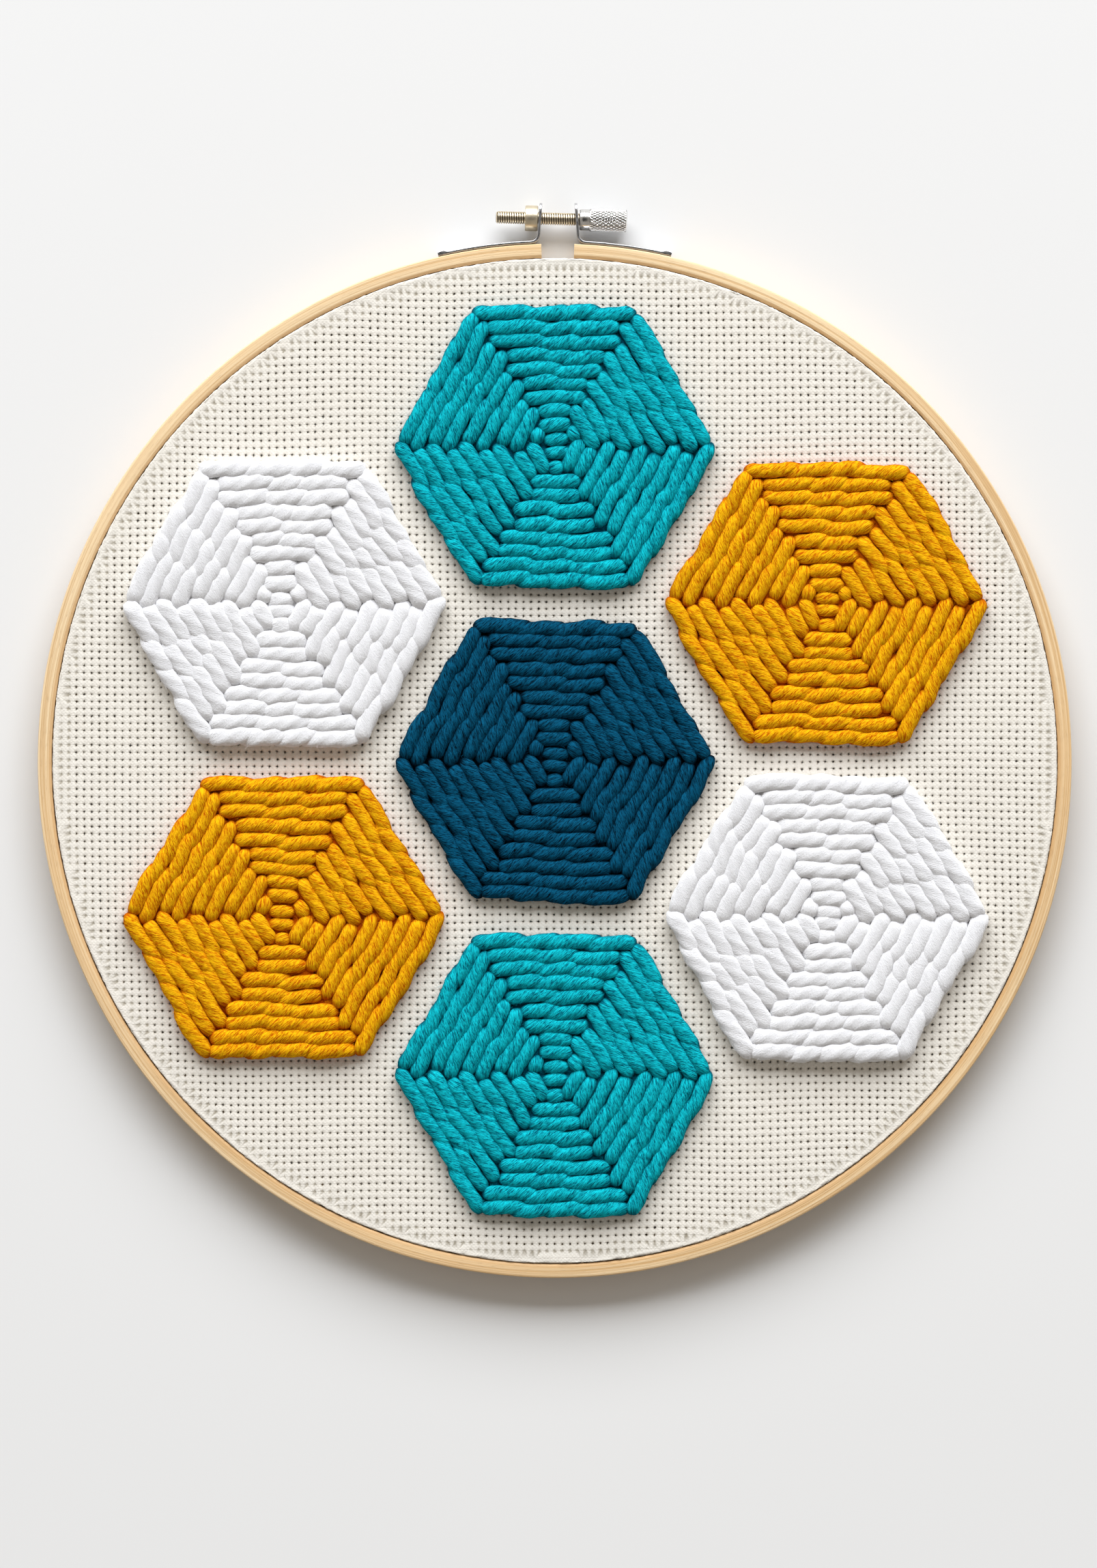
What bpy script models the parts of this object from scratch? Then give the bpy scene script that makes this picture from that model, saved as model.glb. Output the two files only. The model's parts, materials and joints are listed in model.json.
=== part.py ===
"""Hoop embroidery art: yarn hexagons worked on canvas that is stretched in a wooden screw hoop.

The hoop lies on its back. +Z points out of the picture and +Y towards the screw. The origin is the
middle of the whole part's footprint, on the surface that it lies on.
"""

import math

import bmesh
import bpy

MM = 0.001

# Clearance between two pieces that touch on the real object
GAP = 0.3 * MM

# Wooden rings. The outer one is split at the top, a little to the right of the middle.
HOOP_DIAMETER = 310 * MM
RING_WALL = 4.2 * MM
OUTER_DEPTH = 10 * MM
INNER_DEPTH = 9 * MM
WOOD_ROUNDING = 0.9 * MM
SPLIT_LEFT = 4.0 * MM
SPLIT_RIGHT = 5.8 * MM
RING_STEPS = 72

# Canvas: a round sheet over the inner ring, whose edge goes down between the rings and is trimmed
CANVAS_THICKNESS = 1.0 * MM
CANVAS_ROLL = 1.6 * MM
CANVAS_TRIM = 0.8 * MM

# Yarn: each hexagon is filled with rows of stitches that run parallel to its rim
ROWS = 10
ROW_PITCH = 4.2 * MM
CHANNEL = 10 * MM
HEXAGON_SIDES = 6
HEXAGON_MIDDLE = 2.9 * MM

# One row's section, from its inner valley outwards, as shares of the pitch and heights
ROW_SECTION = (
    {"across": 0.00, "height": 1.3 * MM},
    {"across": 0.22, "height": 3.2 * MM},
    {"across": 0.50, "height": 3.8 * MM},
    {"across": 0.78, "height": 3.2 * MM},
)
RIM_SECTION = (
    {"across": 1.00, "height": 1.9 * MM},
    {"across": 0.88, "height": 0.0},
)

# Steel straps that end in ears. The ears lean towards each other under the screw's pull.
STRAP_THICKNESS = 0.8 * MM
STRAP_WIDTH = 7 * MM
STRAP_REACH = 35 * MM
LIP_HEIGHT = 0.6 * MM
LIP_LENGTH = 1.8 * MM
BEND_RADIUS = 2.5 * MM
EAR_TOP = HOOP_DIAMETER / 2 + 12.4 * MM
EAR_LEAN = math.radians(4)
EAR_ROUNDING = 2.4 * MM
EAR_LEFT = 4.8 * MM
EAR_RIGHT = 7.0 * MM
STRAP_STEPS = 8
BEND_STEPS = 5

# Screw, with its round nut on the left and its knurled head on the right
SCREW_HEIGHT = HOOP_DIAMETER / 2 + 7.75 * MM
SCREW_TILT = math.radians(1.6)
ROD_DIAMETER = 3.7 * MM
ROD_LEFT_END = 17.7 * MM
ROD_CHAMFER = 0.3 * MM
NUT_DIAMETER = 7.7 * MM
NUT_LENGTH = 3.6 * MM
NUT_CHAMFER = 0.25 * MM
HEAD_LENGTH = 14 * MM
HEAD_DIAMETER = 6.7 * MM
COLLAR_DIAMETER = 6.4 * MM
COLLAR_LENGTH = 2.8 * MM
HEAD_CHAMFER = 0.4 * MM
HEAD_BORE_DEPTH = 10 * MM
BORE_DIAMETER = ROD_DIAMETER + 2 * GAP
ROUND_STEPS = 24
SMOOTH_BELOW = math.radians(32)

# Worked out from the sizes above
OUTER_RADIUS = HOOP_DIAMETER / 2
OUTER_BORE = OUTER_RADIUS - RING_WALL
CANVAS_RADIUS = OUTER_BORE - GAP
INNER_RADIUS = CANVAS_RADIUS - CANVAS_THICKNESS - GAP
INNER_BORE = INNER_RADIUS - RING_WALL
CANVAS_UNDERSIDE = INNER_DEPTH + GAP
CANVAS_FACE = CANVAS_UNDERSIDE + CANVAS_THICKNESS
YARN_BASE = CANVAS_FACE + GAP
HEXAGON_APOTHEM = ROWS * ROW_PITCH
HEXAGON_SPACING = 2 * HEXAGON_APOTHEM + CHANNEL
STRAP_RADIUS = OUTER_RADIUS + GAP + STRAP_THICKNESS / 2
HARDWARE_Z = OUTER_DEPTH / 2
HOOP_Y = -(EAR_TOP - OUTER_RADIUS) / 2

# Linear colours
MATERIALS = {
    "wood": {"colour": (0.80, 0.60, 0.36), "roughness": 0.55, "metallic": 0.0},
    "canvas": {"colour": (0.80, 0.78, 0.71), "roughness": 0.9, "metallic": 0.0},
    "yarn_teal": {"colour": (0.004, 0.31, 0.38), "roughness": 0.85, "metallic": 0.0},
    "yarn_mustard": {"colour": (0.73, 0.30, 0.008), "roughness": 0.85, "metallic": 0.0},
    "yarn_white": {"colour": (0.80, 0.79, 0.82), "roughness": 0.85, "metallic": 0.0},
    "yarn_navy": {"colour": (0.003, 0.06, 0.125), "roughness": 0.85, "metallic": 0.0},
    "steel": {"colour": (0.56, 0.57, 0.58), "roughness": 0.32, "metallic": 1.0},
    "brass": {"colour": (0.70, 0.58, 0.38), "roughness": 0.34, "metallic": 1.0},
    "nickel": {"colour": (0.66, 0.65, 0.63), "roughness": 0.26, "metallic": 1.0},
}

# The middle hexagon, and then the six around it, clockwise from the top
MIDDLE_YARN = "yarn_navy"
RING_YARNS = (
    {"name": "top", "yarn": "yarn_teal"},
    {"name": "upper_right", "yarn": "yarn_mustard"},
    {"name": "lower_right", "yarn": "yarn_white"},
    {"name": "bottom", "yarn": "yarn_teal"},
    {"name": "lower_left", "yarn": "yarn_mustard"},
    {"name": "upper_left", "yarn": "yarn_white"},
)


def clear_scene():
    for old in list(bpy.data.objects):
        bpy.data.objects.remove(old, do_unlink=True)


def make_materials():
    made = {}
    for name, look in MATERIALS.items():
        material = bpy.data.materials.new(name)
        material.use_nodes = True
        shader = material.node_tree.nodes["Principled BSDF"]
        shader.inputs["Base Color"].default_value = (*look["colour"], 1.0)
        shader.inputs["Roughness"].default_value = look["roughness"]
        shader.inputs["Metallic"].default_value = look["metallic"]
        made[name] = material
    return made


def make_empty(name, location, rotation=(0, 0, 0)):
    empty = bpy.data.objects.new(name, None)
    empty.location = location
    empty.rotation_euler = rotation
    empty.empty_display_size = 10 * MM
    bpy.context.scene.collection.objects.link(empty)
    return empty


def make_object(name, shape, material, parent, location=(0, 0, 0)):
    """Turns a bmesh into a named object, with its faces pointing out."""
    bmesh.ops.recalc_face_normals(shape, faces=shape.faces)
    mesh = bpy.data.meshes.new(name)
    shape.to_mesh(mesh)
    shape.free()
    mesh.shade_smooth()
    mesh.set_sharp_from_angle(angle=SMOOTH_BELOW)
    mesh.materials.append(material)
    piece = bpy.data.objects.new(name, mesh)
    piece.parent = parent
    piece.location = location
    bpy.context.scene.collection.objects.link(piece)
    return piece


def turned(profile, steps, start=0.0, sweep=math.tau):
    """Spins (radius, height) points about +Z. A full turn closes on itself, and a shorter one is capped."""
    shape = bmesh.new()
    full = sweep == math.tau
    points = []
    for radius, height in profile:
        points.append(shape.verts.new((radius * math.cos(start), radius * math.sin(start), height)))
    on_axis = profile[0][0] == 0
    ends = points[1:] if on_axis else points[1:] + points[:1]
    edges = [shape.edges.new(pair) for pair in zip(points, ends)]
    bmesh.ops.spin(
        shape, geom=points + edges, cent=(0, 0, 0), axis=(0, 0, 1), angle=sweep, steps=steps, use_merge=full
    )
    if full:
        bmesh.ops.remove_doubles(shape, verts=shape.verts, dist=GAP / 1000)
    else:
        bmesh.ops.holes_fill(shape, edges=shape.edges, sides=len(profile))
    return shape


def rounded_section(inner, outer, depth, rounding, corner_steps=2):
    """A ring's section: a rectangle with round corners, as (radius, height) points."""
    corners = (
        (outer - rounding, rounding, -90),
        (outer - rounding, depth - rounding, 0),
        (inner + rounding, depth - rounding, 90),
        (inner + rounding, rounding, 180),
    )
    section = []
    for radius, height, first in corners:
        for step in range(corner_steps + 1):
            angle = math.radians(first + 90 * step / corner_steps)
            section.append((radius + rounding * math.cos(angle), height + rounding * math.sin(angle)))
    return section


def outer_ring(material, parent):
    """The split ring. Its ends face each other at the top."""
    middle = OUTER_RADIUS - RING_WALL / 2
    left = math.pi / 2 + math.asin(SPLIT_LEFT / middle)
    right = math.pi / 2 - math.asin(SPLIT_RIGHT / middle)
    section = rounded_section(OUTER_BORE, OUTER_RADIUS, OUTER_DEPTH, WOOD_ROUNDING)
    shape = turned(section, RING_STEPS, start=left, sweep=math.tau - (left - right))
    make_object("outer_ring", shape, material, parent)


def inner_ring(material, parent):
    section = rounded_section(INNER_BORE, INNER_RADIUS, INNER_DEPTH, WOOD_ROUNDING)
    make_object("inner_ring", turned(section, RING_STEPS), material, parent)


def ground_canvas(material, parent):
    """The stretched sheet with its rolled edge, from the middle of its face round to its underside."""
    inner = CANVAS_RADIUS - CANVAS_THICKNESS
    under_roll = CANVAS_ROLL - CANVAS_THICKNESS
    roll = []
    under = []
    roll_steps = 3
    for step in range(roll_steps + 1):
        angle = math.pi / 2 * step / roll_steps
        across = math.sin(angle)
        up = math.cos(angle)
        roll.append(
            (CANVAS_RADIUS - CANVAS_ROLL * (1 - across), CANVAS_FACE - CANVAS_ROLL * (1 - up))
        )
        under.append(
            (inner - under_roll * (1 - across), CANVAS_UNDERSIDE - under_roll * (1 - up))
        )
    edge = [(CANVAS_RADIUS, CANVAS_TRIM), (inner, CANVAS_TRIM)]
    profile = [(0, CANVAS_FACE)] + roll + edge + under[::-1] + [(0, CANVAS_UNDERSIDE)]
    make_object("ground_canvas", turned(profile, RING_STEPS), material, parent)


def hexagon_loop(shape, apothem, height):
    """Six corners at a distance of apothem from the middle to each side. The top side is level."""
    corner = apothem / math.cos(math.pi / HEXAGON_SIDES)
    loop = []
    for side in range(HEXAGON_SIDES):
        angle = math.tau * side / HEXAGON_SIDES
        loop.append(shape.verts.new((corner * math.cos(angle), corner * math.sin(angle), height)))
    return loop


def join_loops(shape, first, second):
    for side in range(len(first)):
        after = (side + 1) % len(first)
        shape.faces.new((first[side], first[after], second[after], second[side]))


def yarn_hexagon(name, location, material, parent):
    """A pad of stitches. Each row is a round ridge that turns the six corners, with a valley beside it."""
    shape = bmesh.new()
    loops = []
    for row in range(ROWS):
        for point in ROW_SECTION:
            apothem = (row + point["across"]) * ROW_PITCH
            if apothem > 0:
                loops.append(hexagon_loop(shape, apothem, point["height"]))
    for point in RIM_SECTION:
        loops.append(hexagon_loop(shape, (ROWS - 1 + point["across"]) * ROW_PITCH, point["height"]))
    for first, second in zip(loops, loops[1:]):
        join_loops(shape, first, second)
    shape.faces.new(loops[-1])
    middle = shape.verts.new((0, 0, HEXAGON_MIDDLE))
    for side in range(HEXAGON_SIDES):
        shape.faces.new((middle, loops[0][side], loops[0][(side + 1) % HEXAGON_SIDES]))
    make_object(name, shape, material, parent, location)


def yarn_hexagons(materials, parent):
    """One hexagon in the middle and six around it, with a channel of bare canvas between them."""
    yarn_hexagon("yarn_middle", (0, 0, YARN_BASE), materials[MIDDLE_YARN], parent)
    for place, spot in enumerate(RING_YARNS):
        angle = math.pi / 2 - math.tau * place / len(RING_YARNS)
        location = (HEXAGON_SPACING * math.cos(angle), HEXAGON_SPACING * math.sin(angle), YARN_BASE)
        yarn_hexagon("yarn_" + spot["name"], location, materials[spot["yarn"]], parent)


def bend_of(ear):
    """The bend's centre and the strap's angle there, for an ear whose foot is this far from the middle."""
    reach = ear + BEND_RADIUS * math.cos(EAR_LEAN)
    angle = math.asin(reach / (STRAP_RADIUS + BEND_RADIUS))
    return reach, (STRAP_RADIUS + BEND_RADIUS) * math.cos(angle), angle


def ear_face(ear):
    """How far from the middle the ear's outward face is, at the height of the screw."""
    _, bend_y, _ = bend_of(ear)
    foot = bend_y - BEND_RADIUS * math.sin(EAR_LEAN)
    lean = (SCREW_HEIGHT - foot) * math.tan(EAR_LEAN)
    return ear - lean + STRAP_THICKNESS / 2 / math.cos(EAR_LEAN)


def strap_path(ear):
    """The strap's middle line from its lip to the top of its ear.

    Each entry holds a point, the direction towards the ring or the split, and how much thicker the
    other face is. The first coordinate is the distance from the middle, so it serves both sides.
    """
    bend_x, bend_y, bend_angle = bend_of(ear)
    tip_angle = math.asin(STRAP_REACH / STRAP_RADIUS)
    lip_angle = tip_angle - LIP_LENGTH / STRAP_RADIUS
    strap_angle = lip_angle - LIP_HEIGHT / STRAP_RADIUS
    angles = [(tip_angle, LIP_HEIGHT / 2), (lip_angle, LIP_HEIGHT)]
    for step in range(STRAP_STEPS + 1):
        angles.append((strap_angle + (bend_angle - strap_angle) * step / STRAP_STEPS, 0.0))
    path = []
    for angle, thicker in angles:
        out = (math.sin(angle), math.cos(angle))
        path.append(((STRAP_RADIUS * out[0], STRAP_RADIUS * out[1]), (-out[0], -out[1]), thicker))
    first = 1.5 * math.pi - bend_angle
    last = math.pi + EAR_LEAN
    for step in range(1, BEND_STEPS + 1):
        angle = first + (last - first) * step / BEND_STEPS
        away = (math.cos(angle), math.sin(angle))
        path.append(((bend_x + BEND_RADIUS * away[0], bend_y + BEND_RADIUS * away[1]), away, 0.0))
    foot, away, _ = path[-1]
    rise = EAR_TOP - foot[1]
    path.append(((foot[0] - rise * math.tan(EAR_LEAN), EAR_TOP), away, 0.0))
    return path


def bracket(name, side, ear, cutter, material, parent):
    """A strap along the ring that bends up into an ear with a hole. side is -1 on the left, 1 on the right."""
    shape = bmesh.new()
    low = HARDWARE_Z - STRAP_WIDTH / 2
    pairs = []
    for point, away, thicker in strap_path(ear):
        pair = []
        for offset in (STRAP_THICKNESS / 2, -STRAP_THICKNESS / 2 - thicker):
            x = point[0] + away[0] * offset
            y = point[1] + away[1] * offset
            pair.append(shape.verts.new((side * x, y, low)))
        pairs.append(pair)
    for first, second in zip(pairs, pairs[1:]):
        shape.faces.new((first[0], second[0], second[1], first[1]))
    grown = bmesh.ops.extrude_face_region(shape, geom=shape.faces[:])
    raised = [item for item in grown["geom"] if isinstance(item, bmesh.types.BMVert)]
    bmesh.ops.translate(shape, verts=raised, vec=(0, 0, STRAP_WIDTH))
    corners = []
    for edge in shape.edges:
        start, end = edge.verts
        if min(start.co.y, end.co.y) > EAR_TOP - STRAP_THICKNESS and start.co.z == end.co.z:
            corners.append(edge)
    bmesh.ops.bevel(
        shape, geom=corners, offset=EAR_ROUNDING, segments=3, profile=0.5, affect="EDGES"
    )
    piece = make_object(name, shape, material, parent)
    cut(piece, cutter)


def cylinder(radius, length):
    """A closed cylinder from the origin along +Z."""
    return turned([(0, 0), (radius, 0), (radius, length), (0, length)], ROUND_STEPS)


def make_cutter(name, shape, material, parent, location=(0, 0, 0)):
    cutter = make_object(name, shape, material, parent, location)
    cutter.hide_render = True
    cutter.display_type = "WIRE"
    return cutter


def cut(piece, cutter):
    modifier = piece.modifiers.new("hole", "BOOLEAN")
    modifier.operation = "DIFFERENCE"
    modifier.object = cutter


def seat(radius, angle):
    """Clearance that leaves the usual gap where a face of this radius leans by this angle to its seat."""
    return GAP + radius * math.tan(angle)


def screw_rod(material, parent, head_start):
    radius = ROD_DIAMETER / 2
    length = ROD_LEFT_END + head_start + HEAD_BORE_DEPTH - GAP
    profile = [
        (0, 0),
        (radius - ROD_CHAMFER, 0),
        (radius, ROD_CHAMFER),
        (radius, length - ROD_CHAMFER),
        (radius - ROD_CHAMFER, length),
        (0, length),
    ]
    make_object("screw_rod", turned(profile, ROUND_STEPS), material, parent, (0, 0, -ROD_LEFT_END))


def knurled_head(material, parent, head_start):
    """The head with its smooth collar, and the blind bore that the rod sits in."""
    radius = HEAD_DIAMETER / 2
    collar = COLLAR_DIAMETER / 2
    bore = BORE_DIAMETER / 2
    profile = [
        (0, HEAD_BORE_DEPTH),
        (bore, HEAD_BORE_DEPTH),
        (bore, 0),
        (collar - HEAD_CHAMFER, 0),
        (collar, HEAD_CHAMFER),
        (collar, COLLAR_LENGTH),
        (radius, COLLAR_LENGTH + radius - collar),
        (radius, HEAD_LENGTH - HEAD_CHAMFER),
        (radius - HEAD_CHAMFER, HEAD_LENGTH),
        (0, HEAD_LENGTH),
    ]
    make_object("knurled_head", turned(profile, ROUND_STEPS), material, parent, (0, 0, head_start))


def round_nut(material, parent, nut_start):
    """A plain round nut with eased edges. The rod runs through its clear bore."""
    radius = NUT_DIAMETER / 2
    bore = BORE_DIAMETER / 2
    profile = [
        (bore, 0),
        (radius - NUT_CHAMFER, 0),
        (radius, NUT_CHAMFER),
        (radius, NUT_LENGTH - NUT_CHAMFER),
        (radius - NUT_CHAMFER, NUT_LENGTH),
        (bore, NUT_LENGTH),
    ]
    make_object("round_nut", turned(profile, ROUND_STEPS), material, parent, (0, 0, nut_start))


def hardware(materials, hoop):
    """Both brackets, and the pieces on the screw, which lie along the +Z of an empty on its axis."""
    screw = make_empty("screw_axis", (0, SCREW_HEIGHT, HARDWARE_Z), (0, math.pi / 2, -SCREW_TILT))
    screw.parent = hoop
    reach = EAR_RIGHT + EAR_LEFT
    holes = make_cutter(
        "ear_hole_cutter", cylinder(BORE_DIAMETER / 2, 2 * reach), materials["steel"], screw, (0, 0, -reach)
    )
    bracket("bracket_left", -1, EAR_LEFT, holes, materials["steel"], hoop)
    bracket("bracket_right", 1, EAR_RIGHT, holes, materials["steel"], hoop)
    head_start = ear_face(EAR_RIGHT) + seat(COLLAR_DIAMETER / 2, EAR_LEAN + SCREW_TILT)
    nut_start = -ear_face(EAR_LEFT) - seat(NUT_DIAMETER / 2, EAR_LEAN - SCREW_TILT) - NUT_LENGTH
    screw_rod(materials["brass"], screw, head_start)
    knurled_head(materials["nickel"], screw, head_start)
    round_nut(materials["brass"], screw, nut_start)


def main():
    clear_scene()
    materials = make_materials()
    hoop = make_empty("hoop_centre", (0, HOOP_Y, 0))
    outer_ring(materials["wood"], hoop)
    inner_ring(materials["wood"], hoop)
    ground_canvas(materials["canvas"], hoop)
    yarn_hexagons(materials, hoop)
    hardware(materials, hoop)


main()
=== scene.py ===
"""The looks of the hoop embroidery art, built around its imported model.

The hoop lies on its back, and the camera looks straight down on it. Lengths are in metres.
"""

import json
import math

import bmesh
import bpy
import numpy as np
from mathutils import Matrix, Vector


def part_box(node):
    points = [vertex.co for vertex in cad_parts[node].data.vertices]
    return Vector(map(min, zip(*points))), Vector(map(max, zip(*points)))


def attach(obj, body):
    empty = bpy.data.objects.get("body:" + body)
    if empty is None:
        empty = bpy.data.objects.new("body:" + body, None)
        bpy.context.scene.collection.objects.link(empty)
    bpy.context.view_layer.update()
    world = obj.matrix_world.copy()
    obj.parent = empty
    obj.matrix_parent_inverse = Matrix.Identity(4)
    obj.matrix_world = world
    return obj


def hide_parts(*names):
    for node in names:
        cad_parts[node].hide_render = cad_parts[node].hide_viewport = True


MM = 0.001

# Where the hoop lies in the photograph, in its pixels
IMAGE_WIDTH = 1607
IMAGE_HEIGHT = 2296
HOOP_PIXEL_X = 812.7
HOOP_PIXEL_Y = 1114.0
HOOP_PIXEL_RADIUS = 757.6
CAMERA_DISTANCE = 2.0
SENSOR = 36.0

# Light and floor. The room is dark close round the camera.
SKY = 0.36
SKY_COLOUR = (1.0, 0.93, 0.84)
SHADE = 0.02
SHADE_START = 0.88
SHADE_FULL = 0.96
WINDOW_COLOUR = (0.975, 1.0, 1.035)
WINDOW_WIDTH = 7.0
WINDOW_HEIGHT = 3.2
WINDOW_POWER = 500.0
WINDOW_DISTANCE = 5.0
WINDOW_LEAN = 59
FLOOR_HALF = 4.0
FLOOR_COLOUR = (0.82, 0.82, 0.815)

# Wood
RING_WALL = 4.2 * MM
WOOD_ROUNDING = 0.8 * MM
OUTER_ROUNDING = 0.5 * MM
INNER_ROUNDING = 1.2 * MM
RING_STEPS = 360
CORNER_STEPS = 4
SPLIT_LEFT = 4.0 * MM
SPLIT_RIGHT = 5.8 * MM
WANDER = 0.05 * MM
DENT = 0.035 * MM

# Canvas: 11 holes to the inch across, and a little closer down the sheet
CELL_X = 2.31 * MM
CELL_Y = 2.19 * MM
HOLE_ARM = 0.375 * MM
HOLE_SIDE = 0.23 * MM
HOLE_POINTS = 8
CREST = 0.14 * MM
BRIDGE = 0.05 * MM
HOLE_RIM = -0.16 * MM
CANVAS_ROUGHNESS = 0.02 * MM
CANVAS_ROLL = 0.35 * MM
CANVAS_TRIM = 0.8 * MM
FRAY = 0.08 * MM
CANVAS_WARP_X = 0.35 * MM
CANVAS_WARP_Y = 0.45 * MM
# Holes are open up to the first radius and closed dimples up to the second. The net ends at the third.
OPEN_RADIUS = 145.4 * MM
DIMPLED_RADIUS = 148.9 * MM
NET_RADIUS = 149.6 * MM
NET_REACH = int(NET_RADIUS / CELL_Y) + 3
UNDER_YARN = 2.2 * MM
EASE_WIDTH = 1.5 * MM

# The hexagons, and how wide and flat their strands are. The white yarn is plumper and flatter.
HEXAGON_SIDES = 6
ROWS = 10
ROW_PITCH = 4.2 * MM
CHANNEL = 10 * MM
STRAND_RADIUS = 2.2 * MM
STRAND_WIDE = 1.04
STRAND_TALL = 0.92
STRAND_TOP = STRAND_RADIUS * 0.88
STRAND_FOOT = -0.9 * MM
STRAND_FLATNESS = 0.9
WHITE_PLUMPNESS = 1.2
WHITE_FLATNESS = 0.56
STRAND_SIDES = 16
STRAND_RINGS = 16
YARN_WARP = 0.45 * MM
YARN_SWELL = 0.12 * MM

# A stitch: its length, how far the next one starts over it, how far it slants, how soon it dives into the
# canvas and thins at its ends, how thin it ends, how it arches, and one turn of its plies and of its fibres
STITCH = 12.5 * MM
OVERLAP = 6.2 * MM
SLANT = 0.95 * MM
DIVE = 3.8 * MM
TAPER = 6.0 * MM
THIN = 0.34
HUMP = 0.28 * MM
JOINT_RISE = 0.45 * MM
JOINT_DRIFT = 1.5 * MM
ROW_DRIFT = 0.08 * MM
TWIST = 23 * MM
FIBRE_TWIST = 15 * MM
PLIES = 4
PLY_DEPTH = 0.05
# A row's tip at a mitre: how far it reaches past it, and how soon it dives and thins
TIP_OVER = {"reach": (0.5 * MM, 1.3 * MM), "dive": 1.6 * MM, "taper": 2.4 * MM}
TIP_SHORT = {"reach": (-1.7 * MM, -0.9 * MM), "dive": 1.9 * MM, "taper": 2.6 * MM}
# The two short stitches in the middle of a hexagon
MIDDLE_OUT = 1.8 * MM
MIDDLE_HALF = 3.7 * MM
MIDDLE_DIVE = 2 * MM

# Padding under the mitres and between the rows
PADDING_SIDES = 8
PADDING_RINGS = 6
MITRE_SHORT = 2.4 * MM
MITRE_TOP = 0.1 * MM
MITRE_TAPER = 2.5 * MM
PADDING_REACH = 0.8 * MM
PADDING_TAPER = 1.5 * MM

# Heights over the canvas: the yarn is painted with its crease shade below the first, and takes its lit colour
# above the second
CREASE_SHADE_FOOT = 2.2 * MM
CREASE_SHADE_TOP = 3.3 * MM

# Loose fibres
FUZZ_PER_HEXAGON = 9500
FUZZ_LOWEST = -0.25
FUZZ_GROWTH = 0.30 * MM
FUZZ_SHORTEST = 0.35 * MM
FUZZ_HALF_WIDTH = 0.028 * MM
FUZZ_ROOT = 0.2 * MM

# Runs of yarn behind the canvas
RUN_SIDES = 6
RUN_RINGS = 4
RUN_RADIUS = 1.2 * MM
RUN_SHORTEST = 1.0 * MM
RUN_LONGEST = 12 * MM
RUN_END = 0.7 * MM
RUN_DEPTH = 0.2 * MM
RUN_SAG = 1.0 * MM

# Hardware, with the same sizes as the solids
STRAP_THICKNESS = 0.8 * MM
STRAP_WIDTH = 7 * MM
STRAP_GAP = 0.3 * MM
STRAP_REACH = 35 * MM
STRAP_STEPS = 30
LIP_HEIGHT = 0.6 * MM
LIP_LENGTH = 1.8 * MM
LIP_STEPS = 4
BEND_RADIUS = 2.5 * MM
BEND_STEPS = 16
EAR_LEAN = math.radians(4)
EAR_ROUNDING = 2.4 * MM
EAR_LEFT = 4.8 * MM
EAR_RIGHT = 7.0 * MM
EAR_STEPS = 16
EAR_HOLE_EASE = 0.25 * MM
EAR_HOLE_SIDES = 48
CUTTER_LENGTH = 40 * MM
EDGE_ROUNDING = 0.16 * MM
EDGE_STEPS = 3
SCREW_TILT = math.radians(1.6)
ROD_DIAMETER = 3.7 * MM
ROD_SIDES = 28
THREAD_PITCH = 0.7 * MM
THREAD_DEPTH = 0.36 * MM
THREAD_CLEARANCE = 0.15 * MM
# One turn of the thread: the share of the pitch, and the depth from 0 on the crest to 1 in the root
THREAD_SECTION = ((0.30, 0.0), (0.44, 1.0), (0.58, 1.0), (0.86, 0.0))
ROD_CHAMFER = 1.2
NUT_DIAMETER = 7.7 * MM
NUT_LENGTH = 3.6 * MM
NUT_EASE = 0.3 * MM
NUT_SEAT = 0.22 * MM
NUT_SIDES = 64
NUT_CROWN = 0.02 * MM
COUNTERSINK = 0.35 * MM
HEAD_LENGTH = 14 * MM
HEAD_DIAMETER = 6.7 * MM
HEAD_CHAMFER = 0.3 * MM
COLLAR_DIAMETER = 6.4 * MM
COLLAR_LENGTH = 2.8 * MM
COLLAR_EASE = 0.3 * MM
COLLAR_SEAT = 0.22 * MM
KNURL_AROUND = 22
KNURL_SIDES = 8 * KNURL_AROUND
KNURL_LENGTH = 1.7 * MM
KNURL_DEPTH = 0.32 * MM
KNURL_GROOVE = 0.45

# Linear colours of the materials
CANVAS_SHADE = (0.800, 0.755, 0.680)
CANVAS_LIGHT = (0.890, 0.855, 0.785)
CANVAS_BLOTCH = (0.810, 0.755, 0.660)
# Painted shade along the creases of the canvas
CANVAS_CREASE_SHADE = (0.50, 0.46, 0.39)
# Painted shade round the rims of the holes
CANVAS_RIM_SHADE = (0.32, 0.28, 0.21)
WOOD_DARK = (0.65, 0.405, 0.180)
WOOD_LIGHT = (0.92, 0.71, 0.44)
WOOD_PATCH = (0.82, 0.54, 0.27)
# Painted shade on the inner edge of the ring
WOOD_EDGE_SHADE = (0.66, 0.39, 0.165)
# Painted shade at the foot of the ring's outer side
WOOD_FOOT_SHADE = (0.30, 0.19, 0.09)
WOOD_PORE = (0.44, 0.25, 0.11)
# Painted shade in the grooves of the metal
GROOVE_SHADE = (0.10, 0.075, 0.045)
# Each yarn's colour in its creases as painted shade, also on its darker fibres; its colour on its lit fibres;
# how deep its fibres stand; and how felted it is
YARNS = {
    "yarn_navy": ((0.0001, 0.002, 0.006), (0.003, 0.102, 0.205), 1.0, 0.0),
    "yarn_teal": ((0.0002, 0.060, 0.105), (0.006, 0.590, 0.690), 1.0, 0.0),
    "yarn_mustard": ((0.490, 0.070, 0.0003), (1.000, 0.545, 0.006), 1.0, 0.0),
    "yarn_white": ((0.870, 0.870, 0.890), (0.905, 0.905, 0.920), 0.8, 1.0),
}
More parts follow.
